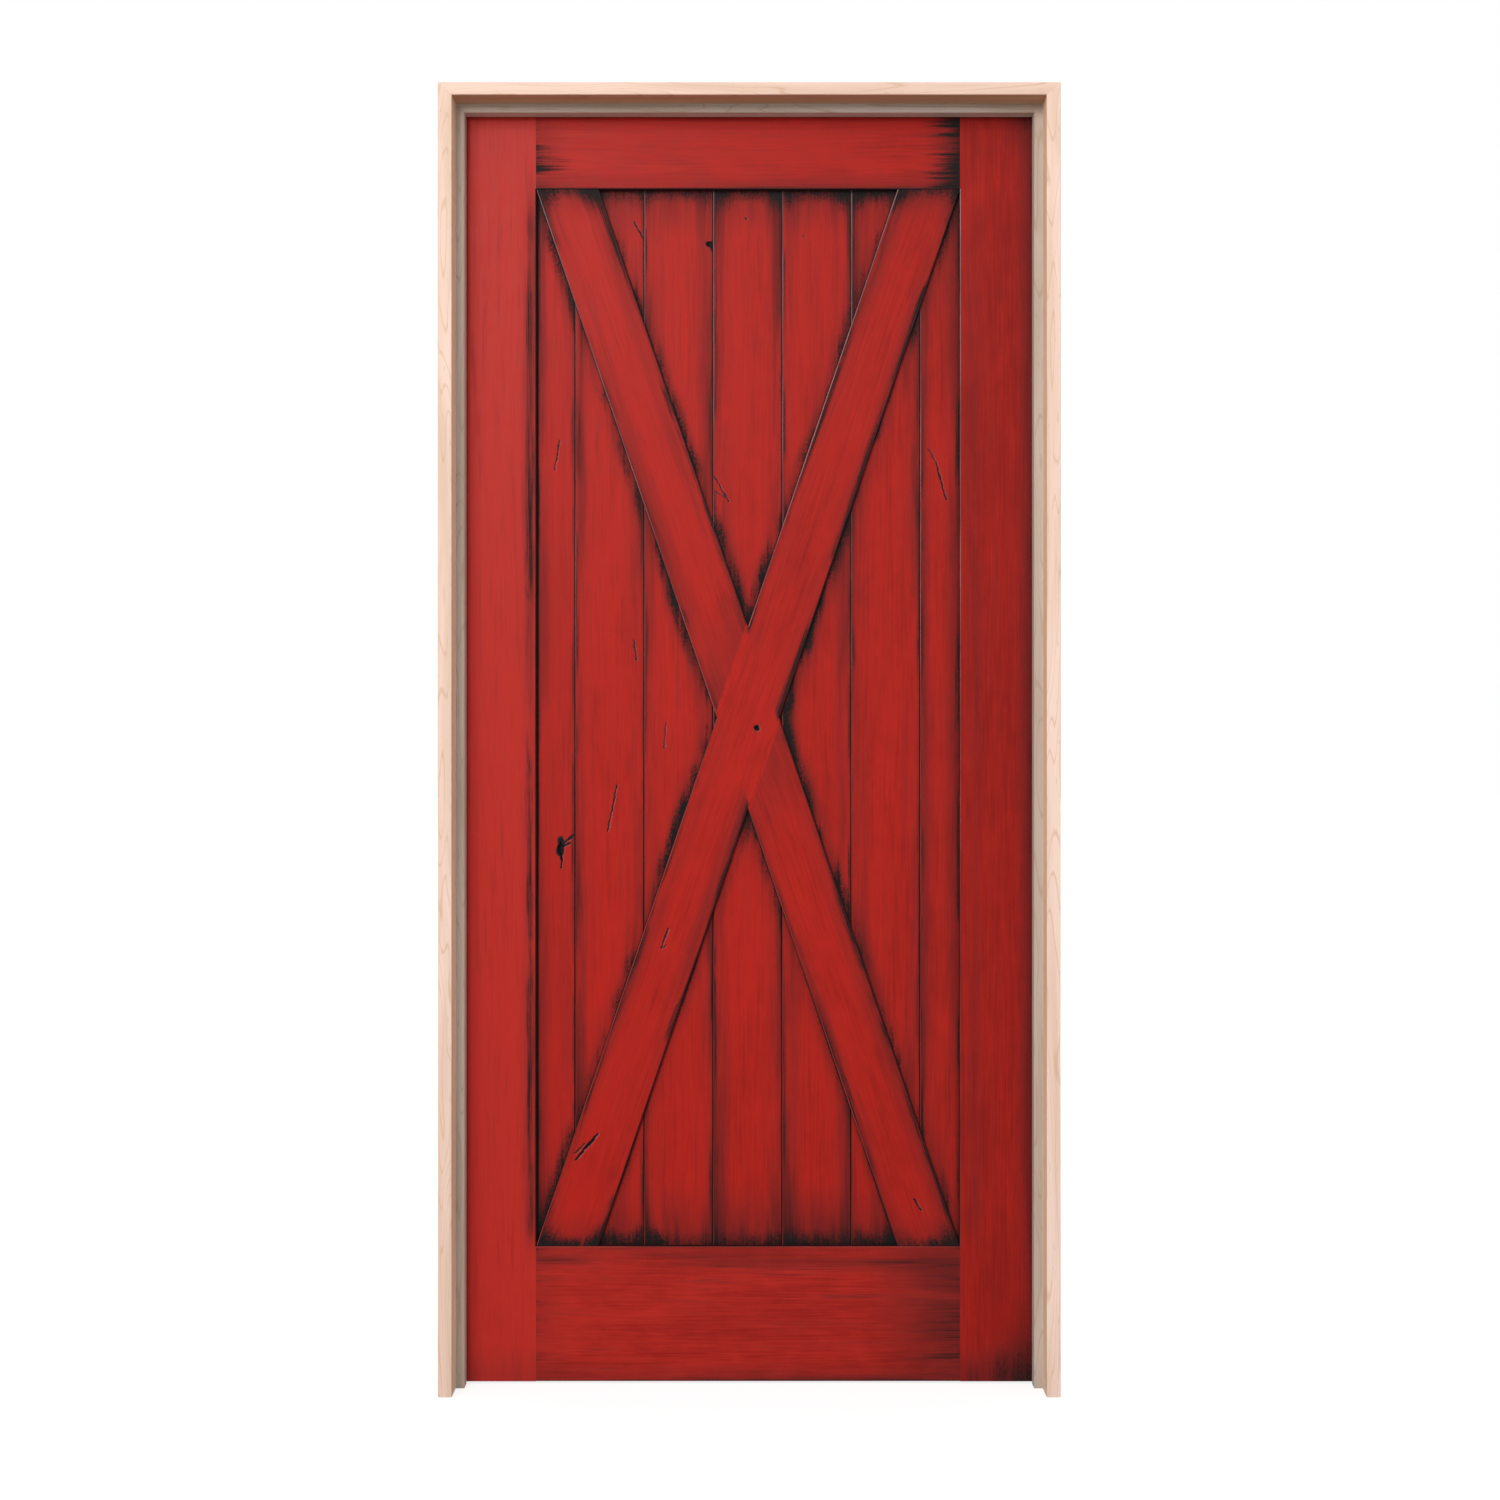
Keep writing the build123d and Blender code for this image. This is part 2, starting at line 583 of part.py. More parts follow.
def build():
    """Every piece by name."""
    pieces = {}
    pieces["jamb_hinge"] = jamb_leg(-1)
    pieces["jamb_lock"] = jamb_leg(1)
    pieces["head_jamb"] = head_jamb()
    pieces["stop_hinge"] = side_stop(-1)
    pieces["stop_lock"] = side_stop(1)
    pieces["stop_head"] = head_stop()
    pieces["stile_hinge"] = stile(-1)
    pieces["stile_lock"] = bevelled_stile()
    top_tenons, bottom_tenons = tenon_spans()
    pieces["top_rail"] = rail(PANEL_TOP, LEAF_TOP, False, top_tenons)
    pieces["bottom_rail"] = rail(LEAF_BOTTOM, PANEL_BOTTOM, True, bottom_tenons)
    for place, board in enumerate(planks(), 1):
        pieces[f"plank_{place}"] = board
    through, upper, lower = braces()
    pieces["brace_through"] = through
    pieces["brace_upper"] = upper
    pieces["brace_lower"] = lower

    x, z = brace_spot(WORM_HOLE_FROM_MIDDLE, WORM_HOLE_HEIGHT_SHARE)
    worm_hole = Plane(origin=(x, BRACE_FRONT, z), z_dir=(0, 1, 0)) * Circle(WORM_HOLE_RADIUS)
    pieces["brace_through"] -= extrude(worm_hole, amount=WORM_HOLE_DEPTH)
    crack = brace_spot(CRACK_FROM_MIDDLE, CRACK_HEIGHT_SHARE)
    pieces["brace_through"] -= pocket(CRACK_OUTLINE, crack, BRACE_FRONT, CRACK_DEPTH)
    knot_hole = plank_spot(0, KNOT_HOLE_FROM_EDGE, KNOT_HOLE_HEIGHT_SHARE)
    pieces["plank_1"] -= pocket(KNOT_HOLE_OUTLINE, knot_hole, PLANK_FRONT, KNOT_HOLE_DEPTH)
    notch = plank_spot(2, NOTCH_FROM_EDGE, NOTCH_HEIGHT_SHARE)
    pieces["plank_3"] -= pocket(NOTCH_OUTLINE, notch, PLANK_FRONT, NOTCH_DEPTH)

    jamb_screws = []
    leaf_screws = []
    for place, middle in enumerate(hinge_heights(), 1):
        jamb_face, leaf_face = -OPENING_HALF, -LEAF_HALF
        jamb_bed, leaf_bed = jamb_face - HINGE_GAUGE, leaf_face + HINGE_GAUGE
        pieces["jamb_hinge"] -= leaf_plate(jamb_bed, jamb_face, middle, MORTISE_FIT)
        pieces["stile_hinge"] -= leaf_plate(leaf_face, leaf_bed, middle, MORTISE_FIT)
        pieces[f"hinge_{place}_jamb_leaf"] = hinge_leaf(jamb_bed, jamb_face, middle, 0, jamb_face, -1)
        pieces[f"hinge_{place}_door_leaf"] = hinge_leaf(leaf_face, leaf_bed, middle, 1, leaf_face, 1)
        pieces[f"hinge_{place}_pin"] = hinge_pin(middle)
        for y, z in hinge_screw_spots(middle):
            jamb_screws.append(screw(jamb_face, y, z, -1, JAMB_SCREW_LENGTH))
            leaf_screws.append(screw(leaf_face, y, z, 1, LEAF_SCREW_LENGTH))
            pieces["jamb_hinge"] -= screw_seat(jamb_face, y, z, -1, JAMB_SCREW_LENGTH)
            pieces["stile_hinge"] -= screw_seat(leaf_face, y, z, 1, LEAF_SCREW_LENGTH)
    pieces["hinge_screws_jamb"] = group(jamb_screws)
    pieces["hinge_screws_door"] = group(leaf_screws)

    corner_height = FRAME_HEIGHT - HEAD_THICKNESS / 2
    pieces["corner_screws"] = group(
        screw(side * FRAME_HALF, y, corner_height, -side, CORNER_SCREW_LENGTH)
        for side in (-1, 1)
        for y in corner_screw_spots()
    )
    return pieces


os.makedirs("parts", exist_ok=True)
for name, piece in build().items():
    export_step(piece, f"parts/{name}.step")
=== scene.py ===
"""Looks of a barn-style door in its frame: finishes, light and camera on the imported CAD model.

Metres, in the CAD frame: X across the doorway, Y away from the viewer, Z up.
"""

import math
from typing import NamedTuple

import bpy
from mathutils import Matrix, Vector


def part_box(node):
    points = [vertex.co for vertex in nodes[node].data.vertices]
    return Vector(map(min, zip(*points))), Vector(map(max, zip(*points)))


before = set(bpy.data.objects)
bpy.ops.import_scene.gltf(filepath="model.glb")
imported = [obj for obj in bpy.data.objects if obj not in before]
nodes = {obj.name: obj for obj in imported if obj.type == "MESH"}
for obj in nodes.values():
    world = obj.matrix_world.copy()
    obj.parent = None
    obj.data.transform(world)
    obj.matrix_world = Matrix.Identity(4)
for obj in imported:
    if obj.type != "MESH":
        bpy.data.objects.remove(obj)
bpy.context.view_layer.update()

# Places on the leaf that the finishes follow
PANEL_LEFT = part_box("stile_hinge")[1].x
PANEL_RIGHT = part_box("stile_lock")[0].x
PANEL_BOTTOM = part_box("brace_through")[0].z
PANEL_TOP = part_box("brace_through")[1].z
LEAF_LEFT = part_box("stile_hinge")[0].x
LEAF_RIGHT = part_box("stile_lock")[1].x
LEAF_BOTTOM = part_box("bottom_rail")[0].z
LEAF_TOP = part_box("top_rail")[1].z
LEAF_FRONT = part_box("stile_hinge")[0].y
LEAF_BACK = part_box("stile_hinge")[1].y
PLANK_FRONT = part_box("plank_4")[0].y
BRACE_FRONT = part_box("brace_through")[0].y
BRACE_WIDTH = 0.093
MIDDLE_X = (PANEL_LEFT + PANEL_RIGHT) / 2
MIDDLE_Z = (PANEL_BOTTOM + PANEL_TOP) / 2
PLANK_COUNT = 7
HINGE_COUNT = 3


def brace_slant():
    """The angle of a brace from upright, for boards that end in the corners of the panel."""
    width, height = PANEL_RIGHT - PANEL_LEFT, PANEL_TOP - PANEL_BOTTOM
    slant = (BRACE_WIDTH / height) ** 2
    a, b = 1 - slant, 2 * slant * width
    c = -(BRACE_WIDTH**2) * (1 + (width / height) ** 2)
    foot = (-b + math.sqrt(b * b - 4 * a * c)) / (2 * a)
    return math.atan2(width - foot, height)


SLANT = brace_slant()

# Scratches: how finely and how far their lines waver, and where they fade, in parts of their width
WAVER_SCALE, WAVER = 170.0, 0.006
LINE_CORE, LINE_RIM = 0.45, 0.85

# Sockets of the mix node that carry colour
MIX_A, MIX_B, MIX_RESULT = 6, 7, 2


class Graph:
    """Short calls that build the nodes of one material around a principled shader."""

    def __init__(self, name):
        self.material = bpy.data.materials.new(name)
        self.material.use_nodes = True
        self.tree = self.material.node_tree
        self.tree.nodes.clear()
        self.shader = self.tree.nodes.new("ShaderNodeBsdfPrincipled")
        output = self.tree.nodes.new("ShaderNodeOutputMaterial")
        self.tree.links.new(self.shader.outputs[0], output.inputs[0])
        place = self.tree.nodes.new("ShaderNodeTexCoord")
        self.x, self.y, self.z = self.split(place.outputs["Object"])
        self.nx, self.ny, self.nz = self.split(place.outputs["Normal"])
        self.wander_x = self.wavered(self.x, seed=0.5)
        self.wander_z = self.wavered(self.z, seed=7.5)

    def feed(self, socket, value):
        """Links another socket to this one, or sets its value."""
        if isinstance(value, bpy.types.NodeSocket):
            self.tree.links.new(value, socket)
        elif isinstance(value, tuple) and len(value) == 3 and socket.type == "RGBA":
            socket.default_value = (*value, 1.0)
        else:
            socket.default_value = value

    def give(self, name, value):
        """Feeds an input of the shader."""
        self.feed(self.shader.inputs[name], value)

    def math(self, operation, *values, clamp=False):
        node = self.tree.nodes.new("ShaderNodeMath")
        node.operation = operation
        node.use_clamp = clamp
        for socket, value in zip(node.inputs, values):
            self.feed(socket, value)
        return node.outputs[0]

    def add(self, a, b):
        return self.math("ADD", a, b)

    def sub(self, a, b):
        return self.math("SUBTRACT", a, b)

    def mul(self, a, b):
        return self.math("MULTIPLY", a, b)

    def size(self, a):
        return self.math("ABSOLUTE", a)

    def weigh(self, a, share_a, b, share_b):
        """The sum of two values, each times its share."""
        return self.add(self.mul(a, share_a), self.mul(b, share_b))

    def partly(self, mask, share):
        """A mask that takes away no more than its share: 1 where it is 1, and 1 - share where it is 0."""
        return self.add(self.mul(mask, share), 1.0 - share)

    def smooth(self, value, start, end):
        """0 at start and 1 at end, with a soft change between them; start may be the larger."""
        node = self.tree.nodes.new("ShaderNodeMapRange")
        node.interpolation_type = "SMOOTHSTEP"
        low, high = min(start, end), max(start, end)
        self.feed(node.inputs["Value"], value)
        node.inputs["From Min"].default_value = low
        node.inputs["From Max"].default_value = high
        node.inputs["To Min"].default_value = 0.0 if start < end else 1.0
        node.inputs["To Max"].default_value = 1.0 if start < end else 0.0
        return node.outputs["Result"]

    def split(self, vector):
        node = self.tree.nodes.new("ShaderNodeSeparateXYZ")
        self.feed(node.inputs[0], vector)
        return node.outputs

    def vector(self, a, b, c):
        node = self.tree.nodes.new("ShaderNodeCombineXYZ")
        for socket, value in zip(node.inputs, (a, b, c)):
            self.feed(socket, value)
        return node.outputs[0]

    def noise(self, vector, detail, roughness, distortion=0.0):
        node = self.tree.nodes.new("ShaderNodeTexNoise")
        self.feed(node.inputs["Vector"], vector)
        node.inputs["Scale"].default_value = 1.0
        node.inputs["Detail"].default_value = detail
        node.inputs["Roughness"].default_value = roughness
        node.inputs["Distortion"].default_value = distortion
        return node.outputs["Fac"]

    def even_noise(self, scale, detail, roughness, seed=0.0):
        """Noise that is alike in all directions, with its scale per metre."""
        z = self.add(self.z, seed) if seed else self.z
        place = self.vector(self.mul(self.x, scale), self.mul(self.y, scale), self.mul(z, scale))
        return self.noise(place, detail, roughness)

    def mix(self, factor, a, b, blend="MIX"):
        node = self.tree.nodes.new("ShaderNodeMix")
        node.data_type = "RGBA"
        node.blend_type = blend
        self.feed(node.inputs["Factor"], factor)
        self.feed(node.inputs[MIX_A], a)
        self.feed(node.inputs[MIX_B], b)
        return node.outputs[MIX_RESULT]

    def union(self, masks):
        """One minus the product of what each mask leaves open."""
        open_part = None
        for mask in masks:
            left = self.math("SUBTRACT", 1.0, mask, clamp=True)
            open_part = left if open_part is None else self.mul(open_part, left)
        return self.math("SUBTRACT", 1.0, open_part, clamp=True)

    def bump(self, height, distance, strength):
        node = self.tree.nodes.new("ShaderNodeBump")
        node.inputs["Strength"].default_value = strength
        node.inputs["Distance"].default_value = distance
        self.feed(node.inputs["Height"], height)
        self.give("Normal", node.outputs[0])

    def wavered(self, place, seed):
        """A coordinate pushed to and fro a little, so that lines drawn with it waver."""
        spread = self.vector(self.mul(self.x, WAVER_SCALE), seed, self.mul(self.z, WAVER_SCALE))
        push = self.sub(self.noise(spread, detail=2.0, roughness=0.6), 0.5)
        return self.add(place, self.mul(push, WAVER))

    def line(self, start, end, width):
        """1 on a short straight mark on the face, 0 beyond its width."""
        dx, dz = end[0] - start[0], end[1] - start[1]
        length2 = dx * dx + dz * dz
        rx, rz = self.sub(self.wander_x, start[0]), self.sub(self.wander_z, start[1])
        along = self.weigh(rx, dx / length2, rz, dz / length2)
        along = self.math("MULTIPLY", along, 1.0, clamp=True)
        ox = self.sub(rx, self.mul(along, dx))
        oz = self.sub(rz, self.mul(along, dz))
        distance = self.math("SQRT", self.add(self.mul(ox, ox), self.mul(oz, oz)))
        return self.smooth(distance, width * LINE_RIM, width * LINE_CORE)


def upright(g):
    """Along and across the grain of an upright board."""
    return g.z, g.x


def level(g):
    """Along and across the grain of a level board."""
    return g.x, g.z


def leaning(g, way):
    """Along and across the grain of a brace, which leans right for way 1 and left for way -1."""
    x, z = g.sub(g.x, MIDDLE_X), g.sub(g.z, MIDDLE_Z)
    sine, cosine = way * math.sin(SLANT), math.cos(SLANT)
    along = g.weigh(x, sine, z, cosine)
    across = g.sub(g.mul(x, cosine), g.mul(z, sine))
    return along, across


def off_brace(g, way):
    """Distance outside the edges of a brace, negative on it."""
    across = leaning(g, way)[1]
    return g.sub(g.size(across), BRACE_WIDTH / 2)


def nearest(g, distances):
    """The smallest of several distances."""
    least = distances[0]
    for distance in distances[1:]:
        least = g.math("MINIMUM", least, distance)
    return least


def corner(g, a, b):
    """Distance from the corner between two edges."""
    a, b = g.math("MAXIMUM", a, 0.0), g.math("MAXIMUM", b, 0.0)
    return g.math("SQRT", g.add(g.mul(a, a), g.mul(b, b)))


def grained(g, place, across_scale, along_scale, detail, roughness, distortion=0.0):
    """Noise drawn out along the grain of a board; place is (along, across, depth)."""
    along, across, depth = place
    scaled = g.vector(g.mul(across, across_scale), g.mul(along, along_scale), g.mul(depth, across_scale))
    return g.noise(scaled, detail, roughness, distortion)


# Noise along the grain: scale across and along per metre, detail, roughness, distortion
HAIR = (420.0, 9.0, 3.0, 0.65, 0.2)
STREAK = (110.0, 4.5, 4.0, 0.62, 0.3)
BROAD = (15.0, 5.0, 3.0, 0.6, 0.5)
MOTTLE = (55.0, 30.0, 4.0, 0.6)
DAB = (300.0, 210.0, 5.0, 0.72, 0.5)
DRIFT = (33.0, 2.1, 3.0, 0.6, 0.3)
CLUSTER = (58.0, 2.4, 4.0, 0.62)
WOOD_FINE = (800.0, 9.0, 3.0, 0.6)
WOOD_BROAD = (40.0, 2.6, 2.0, 0.5, 0.6)
WOOD_FIELD = (17.0, 1.5, 2.0, 0.45, 0.4)
WOOD_FLECK = (380.0, 45.0, 1.0, 0.4)

# Red paint
RED_DEEP = (0.250, 0.0080, 0.0050)
RED = (0.470, 0.0150, 0.0085)
# a paler pink red; on the hinge stile it stands in for a painted sheen of the light from the left
RED_PALE = (0.560, 0.046, 0.034)
# rubbed red and pale pink on the arrises: worn paint, and painted highlights where the light from the upper
# left falls; the pale pink is also the painted highlight beside each scratch
RED_WORN_AND_LIT = (0.520, 0.060, 0.046)
PRIMER_AND_HIGHLIGHT = (0.400, 0.210, 0.210)
GLAZE_THIN = (0.0500, 0.0160, 0.0170)
GLAZE = (0.0060, 0.0040, 0.0045)
WASH = 0.32  # glaze that the brush leaves in streaks over a whole board
# painted shade: the red darkens to the right, where less of the light from the left falls
PAINTED_SHADE_TO_RIGHT = 0.10  # per metre
# near black on the recess walls and on every arris: glaze, and painted shade of the recesses and of the
# arrises turned from the light
WALL_GLAZE_AND_SHADE, ARRIS_GLAZE_AND_SHADE = 0.95, 0.80
MARK_DEPTH, MARK_END = 0.0085, 0.0105  # behind the front face, where marks begin and stop to fade
# painted highlight beside each scratch: a pale copy shifted right and down, as if its wall were lit from
# the upper left
HIGHLIGHT_SHIFT, HIGHLIGHT_STRENGTH = (0.0013, -0.0006), 0.26
PAINT_SPECULAR = 0.12


class Edge(NamedTuple):
    """Glaze that gathers along one edge of a board."""

    kind: str  # haze, dabs or strokes
    distance: object  # socket with the distance from the edge
    reach: float  # where the glaze ends
    strength: object  # number or socket
    dabs: float  # how far it is broken up by dabs
    brushed: float  # how far it is drawn out along the grain
    patchy: float  # how far it comes and goes


def hazed(distance, reach, strength, brushed, patchy):
    """A thin soft shade."""
    return Edge("haze", distance, reach, strength, 0.0, brushed, patchy)


def dabbed(distance, reach, strength, dabs, brushed, patchy=0.0):
    """Dark glaze with a broken rim."""
    return Edge("dabs", distance, reach, strength, dabs, brushed, patchy)


def stroked(distance, reach, strength, dabs, brushed, patchy):
    """Dark glaze in clusters of brush strokes."""
    return Edge("strokes", distance, reach, strength, dabs, brushed, patchy)


class Brush(NamedTuple):
    """The noise fields of one painted board, all drawn out along its grain."""

    hair: object
    streak: object
    broad: object
    mottle: object
    dab: object
    patch: object
    drift: object
    cluster: object
    hair_swing: object
    dab_swing: object


def brushwork(g, grain, seed):
    """The noise fields of a board with this grain."""
    along, across = grain(g)
    place = along, across, g.add(g.y, seed)
    hair, streak = grained(g, place, *HAIR), grained(g, place, *STREAK)
    broad, dab = grained(g, place, *BROAD), grained(g, place, *DAB)
    return Brush(
        hair=hair,
        streak=streak,
        broad=broad,
        mottle=grained(g, place, *MOTTLE),
        dab=dab,
        patch=g.smooth(g.weigh(broad, 0.7, streak, 0.3), 0.38, 0.60),
        drift=g.smooth(grained(g, place, *DRIFT), 0.36, 0.66),
        cluster=g.smooth(grained(g, place, *CLUSTER), 0.42, 0.62),
        hair_swing=g.sub(hair, 0.5),
        dab_swing=g.sub(dab, 0.5),
    )


def edge_glaze(g, brush, edge):
    """How densely the glaze along one edge covers the paint."""
    density = g.mul(g.smooth(edge.distance, edge.reach, 0.0), edge.strength)
    if edge.kind == "haze":
        shade = g.mul(density, g.partly(brush.drift, edge.patchy))
        return g.mul(shade, g.add(g.mul(brush.hair, edge.brushed), 1.0 - edge.brushed / 2))
    if edge.patchy:
        spread = brush.cluster if edge.kind == "strokes" else brush.patch
        density = g.mul(density, g.partly(spread, edge.patchy))
    grit = g.weigh(brush.dab_swing, edge.dabs, brush.hair_swing, edge.brushed)
    return g.smooth(g.mul(density, g.add(grit, 1.0)), 0.08, 0.95)


def scratches(g, marks, front):
    """Masks of the marks on the front face, and of the painted highlight beside each of them, shifted right
    and down.
    """
    on_front = g.smooth(g.y, front + MARK_END, front + MARK_DEPTH)
    cuts, highlights = [], []
    for start, end, width, strength in marks:
        cuts.append(g.mul(g.mul(g.line(start, end, width), strength), on_front))
        beside = [(x + HIGHLIGHT_SHIFT[0], z + HIGHLIGHT_SHIFT[1]) for x, z in (start, end)]
        highlights.append(g.mul(g.mul(g.line(*beside, width), strength * HIGHLIGHT_STRENGTH), on_front))
    return cuts, highlights


def recess_walls(g, facing):
    """1 on the faces that stand upright in the recess of the panel, darkened by glaze and by painted shade
    of the recess.
    """
    around = [
        g.sub(g.x, PANEL_LEFT),
        g.sub(PANEL_RIGHT, g.x),
        g.sub(g.z, PANEL_BOTTOM),
        g.sub(PANEL_TOP, g.z),
    ]
    recess = g.smooth(nearest(g, around), -0.008, -0.004)
    before_back = g.smooth(g.y, LEAF_BACK - 0.004, LEAF_BACK - 0.010)
    return g.mul(g.mul(g.smooth(facing, 0.50, 0.20), before_back), recess)


def arris_wear_and_highlight(g, brush, arris):
    """How far an arris turns pale: rubbed paint in patches, and a painted highlight most on its upper left
    sides and high on the door, where the light from the upper left falls.
    """
    upper_left = g.sub(g.mul(g.nz, 0.6), g.nx)
    # painted highlight: most on arrises that face up and left, toward the light
    rubbed = g.mul(g.partly(g.smooth(upper_left, 0.10, 0.55), 0.85), arris)
    rubbed = g.mul(rubbed, g.partly(g.smooth(g.z, 0.5, 1.4), 0.35))
    return g.mul(rubbed, g.add(0.35, g.mul(brush.patch, 0.50)))


def red_paint(name, grain, edges, seed, front, marks=(), tone=0.0, wash=WASH, paled=0.0, joint=None):
    """Brushed red paint with dark glaze left along edges and ends, dabbed and streaked along the grain.

    edges(g) lists an Edge for each place that holds glaze, and marks the (start, end, width, strength)
    of scratches on the front face. tone lightens the red, wash is how much glaze the brush left in
    streaks over the whole board, and paled is how far its red is mixed toward a paler pink. Set on the
    stiles and the bottom rail, tone and paled paint in light and shade: lighter and pinker where more
    light falls, darker where less falls.
    joint(g) is 1 where the board butts flush against another, with no glaze or wear on the joint.
    """
    g = Graph(name)
    brush = brushwork(g, grain, seed)

    clouds = g.weigh(brush.broad, 0.26, brush.mottle, 0.14)
    body = g.add(clouds, g.weigh(brush.streak, 0.26, brush.hair, 0.34))
    # painted shade: the body of the red darkens to the right
    body = g.sub(g.add(body, tone), g.mul(g.x, PAINTED_SHADE_TO_RIGHT))
    light_red = tuple(a + (b - a) * paled for a, b in zip(RED, RED_PALE))
    red = g.mix(g.smooth(body, 0.28, 0.60), RED_DEEP, light_red)

    strokes = g.smooth(g.weigh(brush.streak, 0.7, brush.hair, 0.3), 0.50, 0.70)
    masks = [g.mul(strokes, g.mul(brush.patch, wash))]
    masks += [edge_glaze(g, brush, edge) for edge in edges(g)]
    free = 1.0
    if joint:
        free = g.sub(1.0, joint(g))
        masks = [g.mul(mask, free) for mask in masks]
    cuts, highlights = scratches(g, marks, front)
    masks += cuts
    facing = g.size(g.ny)
    # glaze and painted shade on the recess walls and arrises
    masks.append(g.mul(recess_walls(g, facing), WALL_GLAZE_AND_SHADE))
    arris = g.mul(g.mul(g.smooth(facing, 0.97, 0.85), g.smooth(facing, 0.35, 0.60)), free)
    masks.append(g.mul(arris, ARRIS_GLAZE_AND_SHADE))
    glaze = g.union(masks)

    # painted highlights beside the scratches
    if highlights:
        red = g.mix(g.union(highlights), red, PRIMER_AND_HIGHLIGHT)
    colour = g.mix(glaze, red, g.mix(glaze, GLAZE_THIN, GLAZE))
    # painted highlight: the arris turns from rubbed red to pale pink higher on the door, where the light
    # falls; dabs break it up as wear
    bare_and_lit = g.smooth(g.weigh(brush.dab, 0.5, g.z, 0.22), 0.38, 0.68)
    colour = g.mix(arris_wear_and_highlight(g, brush, arris), colour, g.mix(bare_and_lit, RED_WORN_AND_LIT, PRIMER_AND_HIGHLIGHT))

    g.give("Base Color", colour)
    g.give("Roughness", g.add(0.36, g.mul(g.add(glaze, brush.mottle), 0.16)))
    g.give("Specular IOR Level", PAINT_SPECULAR)
    g.bump(g.weigh(brush.streak, 0.75, brush.mottle, 0.25), distance=0.0006, strength=0.30)
    return g.material


# Pale wood
BAND_DARK = (0.79, 0.550, 0.420)
BAND_LIGHT = (0.92, 0.670, 0.545)
FIGURE_LINE = (0.66, 0.40, 0.26)
FINE_GRAIN = (0.74, 0.50, 0.37)
FLECK = (0.55, 0.34, 0.22)
FIGURE_LINES = 21.0  # over the whole range of the field that they follow
WHITE = (1.0, 1.0, 1.0)
WOOD_SPECULAR = 0.25


def pale_wood(name, grain, seed, shade, inward=(0, 0), inner=WHITE):
    """Pale close-grained wood: soft bands, thin wandering figure lines and short darker flecks.

    shade tints the whole board, and inner the face that looks inward, a direction in X and Z. On the frame
    both are painted light and shade: lighter where more light falls, darker where less falls.
    """

    def shaded(colour):
        return tuple(part * tint for part, tint in zip(colour, shade))

    g = Graph(name)
    along, across = grain(g)
    place = along, across, g.add(g.y, seed)
    fine, broad = grained(g, place, *WOOD_FINE), grained(g, place, *WOOD_BROAD)
    field, fleck = grained(g, place, *WOOD_FIELD), grained(g, place, *WOOD_FLECK)
    ring = g.size(g.sub(g.math("FRACT", g.mul(field, FIGURE_LINES)), 0.5))
    colour = g.mix(g.smooth(broad, 0.30, 0.70), shaded(BAND_DARK), shaded(BAND_LIGHT))
    colour = g.mix(g.mul(g.smooth(ring, 0.11, 0.0), 0.55), colour, shaded(FIGURE_LINE))
    colour = g.mix(g.mul(g.smooth(fine, 0.52, 0.80), 0.28), colour, shaded(FINE_GRAIN))
    colour = g.mix(g.mul(g.smooth(fleck, 0.68, 0.80), 0.40), colour, shaded(FLECK))
    # painted light and shade on the faces that look into the doorway
    if any(inward):
        looks_in = g.weigh(g.nx, inward[0], g.nz, inward[1])
        tint = g.mix(g.smooth(looks_in, 0.60, 0.90), WHITE, inner)
        colour = g.mix(1.0, colour, tint, blend="MULTIPLY")
    g.give("Base Color", colour)
    g.give("Roughness", g.add(0.52, g.mul(fine, 0.16)))
    g.give("Specular IOR Level", WOOD_SPECULAR)
    g.bump(g.weigh(broad, 0.5, fine, 0.5), distance=0.0003, strength=0.4)
    return g.material


# Metal
BRONZE_DARK, BRONZE_RUBBED = (0.030, 0.022, 0.017), (0.120, 0.070, 0.040)
ZINC_DARK, ZINC_LIGHT = (0.42, 0.42, 0.40), (0.66, 0.66, 0.63)


def rubbed_bronze(name, seed):
    """Dark bronze on steel, rubbed to warm metal in places."""
    g = Graph(name)
    cloud = g.even_noise(scale=160.0, detail=4.0, roughness=0.6, seed=seed)
    grit = g.even_noise(scale=1400.0, detail=2.0, roughness=0.5)
    rub = g.smooth(g.add(cloud, g.mul(grit, 0.35)), 0.60, 0.95)
    g.give("Base Color", g.mix(rub, BRONZE_DARK, BRONZE_RUBBED))
    g.give("Metallic", 0.85)
    g.give("Roughness", g.add(0.38, g.mul(cloud, 0.22)))
    g.bump(grit, distance=0.0001, strength=0.5)
    return g.material


def zinc(name):
    """Bright zinc on the corner screws."""
    g = Graph(name)
    cloud = g.even_noise(scale=500.0, detail=3.0, roughness=0.6)
    g.give("Base Color", g.mix(cloud, ZINC_DARK, ZINC_LIGHT))
    g.give("Metallic", 1.0)
    g.give("Roughness", g.add(0.30, g.mul(cloud, 0.25)))
    return g.material


def dress(node, material):
    """Gives a CAD node its finish."""
    mesh = nodes[node].data
    mesh.materials.clear()
    mesh.materials.append(material)


def end_glaze(g, gap, side, band, haze):
    """Glaze at the end of a board: a broken dark band, darker corners and a thin streaked haze beyond.

    band is (reach, strength, patchy) and haze is (reach, strength).
    """
    reach, strength, patchy = band
    return [
        dabbed(gap, reach, strength, dabs=2.0, brushed=0.8, patchy=patchy),
        dabbed(corner(g, gap, side), reach=0.058, strength=1.05, dabs=2.0, brushed=1.0, patchy=0.55),
        hazed(gap, *haze, brushed=1.5, patchy=0.60),
    ]


def along_braces(g):
    """How much glaze the planks hold along the braces: most at the crossing, less in the field below it."""
    near = g.partly(g.smooth(g.size(g.sub(g.z, MIDDLE_Z)), 0.50, 0.15), 0.35)
    spread = g.mul(g.size(g.sub(g.x, MIDDLE_X)), 1 / math.tan(SLANT))
    below = g.smooth(g.sub(g.sub(MIDDLE_Z, g.z), spread), 0.0, 0.02)
    return g.mul(near, g.sub(1.0, g.mul(below, 0.42)))


